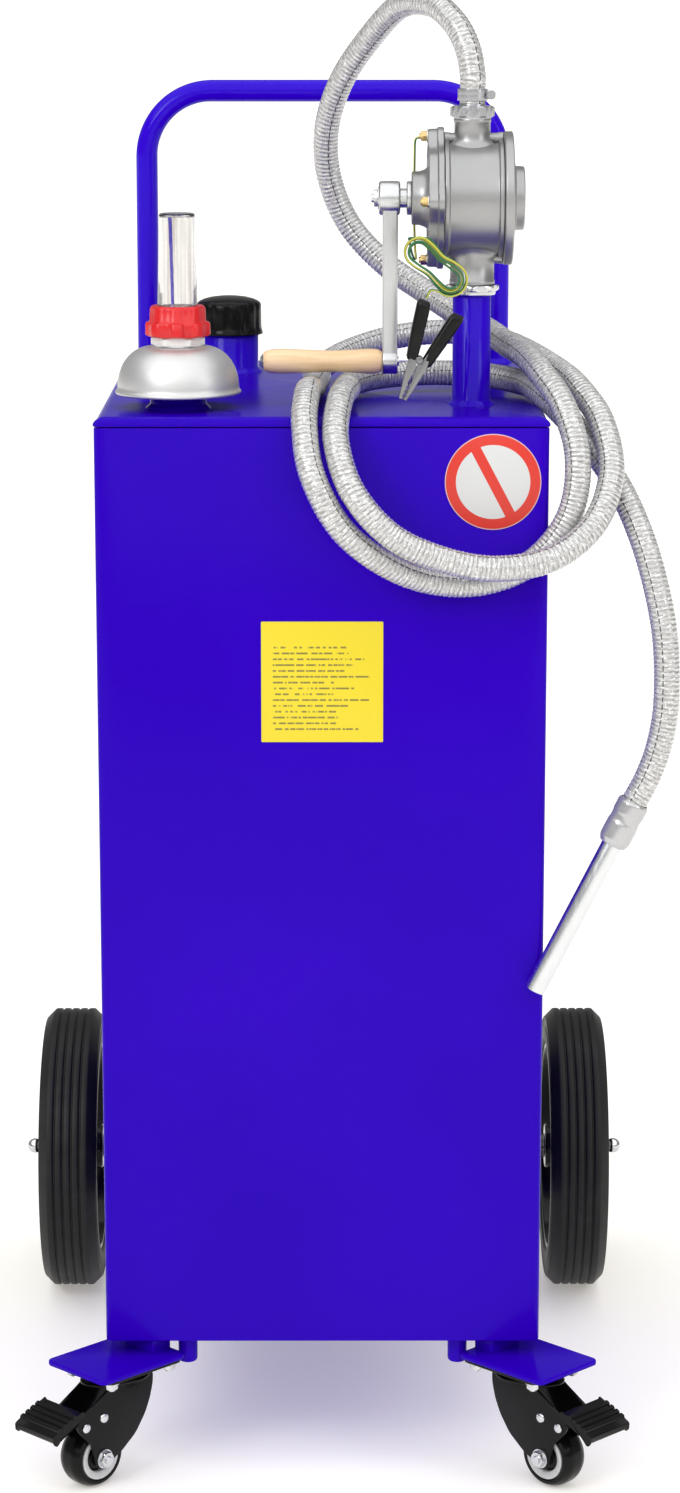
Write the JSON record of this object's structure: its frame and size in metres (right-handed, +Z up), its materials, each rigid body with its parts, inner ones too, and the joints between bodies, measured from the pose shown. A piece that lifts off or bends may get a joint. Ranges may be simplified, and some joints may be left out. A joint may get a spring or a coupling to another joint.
{
  "type": "fuel caddy",
  "caption": "Upright steel fuel tank on two wheels and two braked casters, with a rotary hand pump, outlet hose and spout, float gauge, filler cap, push handle and earthing clamp.",
  "frame": {"origin": "on the floor, under the middle of the caddy's width and depth, taken without the hose and the earth wire", "axes": "+Z up, +X to the right as the caddy is seen from the front, +Y to the rear, where the handle and the large wheels are"},
  "size_m": [0.5443, 0.6688, 1.1772],
  "materials": {
    "blue_paint": "gloss enamel",
    "cast_alloy": "satin as-cast",
    "zinc": "bright zinc plate",
    "chrome": "polished",
    "black_paint": "satin black",
    "tyre": "matt",
    "black_rubber": "matt",
    "black_plastic": "satin",
    "red_plastic": "gloss",
    "white_plastic": "satin",
    "grey_plastic": "satin",
    "clear_plastic": "clear",
    "hose": "clear reinforced",
    "wood": "plain varnish",
    "wire": "insulation"
  },
  "bodies": {
    "tank": {"axle_bracket": "blue_paint", "axle_nut_left": "chrome", "axle_nut_right": "chrome", "caster_mount_left": "black_paint", "caster_mount_right": "black_paint", "caster_plate_left": "blue_paint", "caster_plate_right": "blue_paint", "clamp_body": "black_plastic", "filler_neck": "blue_paint", "gauge_adaptor": "white_plastic", "gauge_dome": "cast_alloy", "gauge_neck": "blue_paint", "gauge_nut": "red_plastic", "gauge_vial": "clear_plastic", "gland_nut": "zinc", "handle_frame": "blue_paint", "hose_adaptor": "zinc", "hose_clamp": "zinc", "hose_coil": "hose", "hose_cuff": "clear_plastic", "hose_tail": "hose", "hose_upper": "hose", "pump_body": "cast_alloy", "pump_cover": "cast_alloy", "pump_flange": "cast_alloy", "pump_locknut": "zinc", "pump_riser": "blue_paint", "rear_axle": "zinc", "spout": "cast_alloy", "suction_tube": "zinc", "tank_base": "blue_paint", "tank_top": "blue_paint", "tank_wrap": "blue_paint", "wire_hank": "wire", "wire_lead": "wire"},
    "rear_wheel_left": {"wheel_tyre_left": "tyre", "wheel_rim_left": "black_plastic"},
    "rear_wheel_right": {"wheel_tyre_right": "tyre", "wheel_rim_right": "black_plastic"},
    "caster_swivel_left": {"caster_fork_left": "black_paint", "caster_axle_left": "zinc"},
    "caster_swivel_right": {"caster_fork_right": "black_paint", "caster_axle_right": "zinc"},
    "caster_roll_left": {"caster_tyre_left": "black_rubber", "caster_hub_left": "grey_plastic"},
    "caster_roll_right": {"caster_tyre_right": "black_rubber", "caster_hub_right": "grey_plastic"},
    "pedal_left": {"brake_pedal_left": "black_plastic"},
    "pedal_right": {"brake_pedal_right": "black_plastic"},
    "cap": {"filler_cap": "black_plastic", "cap_gasket": "black_rubber"},
    "float": {"float_gauge": "red_plastic"},
    "crank": {"pump_rotor": "zinc", "vane_a": "black_plastic", "vane_b": "black_plastic", "crank_arm": "cast_alloy", "crank_bolt": "zinc", "grip_spindle": "zinc"},
    "grip": {"crank_grip": "wood"},
    "jaw": {"clamp_jaw": "black_plastic"}
  },
  "joints": [
    {"name": "rear_wheel_left_spin", "type": "hinge", "parent": "tank", "child": "rear_wheel_left", "pos_m": [-0.22975, 0.20742, 0.127], "axis": [1, 0, 0], "continuous": true},
    {"name": "rear_wheel_right_spin", "type": "hinge", "parent": "tank", "child": "rear_wheel_right", "pos_m": [0.22975, 0.20742, 0.127], "axis": [1, 0, 0], "continuous": true},
    {"name": "caster_left_swivel", "type": "hinge", "parent": "tank", "child": "caster_swivel_left", "pos_m": [-0.1625, -0.25558, 0.088], "axis": [0, 0, 1], "continuous": true},
    {"name": "caster_left_roll", "type": "hinge", "parent": "caster_swivel_left", "child": "caster_roll_left", "pos_m": [-0.18584, -0.27891, 0.0255], "axis": [0.7071, -0.7071, 0], "continuous": true},
    {"name": "brake_pedal_left_press", "type": "hinge", "parent": "caster_swivel_left", "child": "pedal_left", "pos_m": [-0.19927, -0.29235, 0.0565], "axis": [0.7071, -0.7071, 0], "range_deg": [0, 18]},
    {"name": "caster_right_swivel", "type": "hinge", "parent": "tank", "child": "caster_swivel_right", "pos_m": [0.1625, -0.25558, 0.088], "axis": [0, 0, 1], "continuous": true},
    {"name": "caster_right_roll", "type": "hinge", "parent": "caster_swivel_right", "child": "caster_roll_right", "pos_m": [0.18584, -0.27891, 0.0255], "axis": [0.7071, 0.7071, 0], "continuous": true},
    {"name": "brake_pedal_right_press", "type": "hinge", "parent": "caster_swivel_right", "child": "pedal_right", "pos_m": [0.19927, -0.29235, 0.0565], "axis": [0.7071, 0.7071, 0], "range_deg": [0, 18]},
    {"name": "cap_lift", "type": "slide", "parent": "tank", "child": "cap", "axis": [0, 0, 1], "range_m": [0, 0.06]},
    {"name": "float_rise", "type": "slide", "parent": "tank", "child": "float", "axis": [0, 0, 1], "range_m": [0, 0.056]},
    {"name": "crank_turn", "type": "hinge", "parent": "tank", "child": "crank", "pos_m": [0.0528, -0.16508, 1.0177], "axis": [1, 0, 0], "continuous": true},
    {"name": "grip_spin", "type": "hinge", "parent": "crank", "child": "grip", "pos_m": [0, -0.16508, 0.8907], "axis": [1, 0, 0], "continuous": true},
    {"name": "jaw_open", "type": "hinge", "parent": "tank", "child": "jaw", "pos_m": [0.0752, -0.22758, 0.8982], "axis": [0, -1, 0], "range_deg": [0, 20], "stiffness_Nm_per_rad": 0.5, "springref_deg": -20.05}
  ]
}
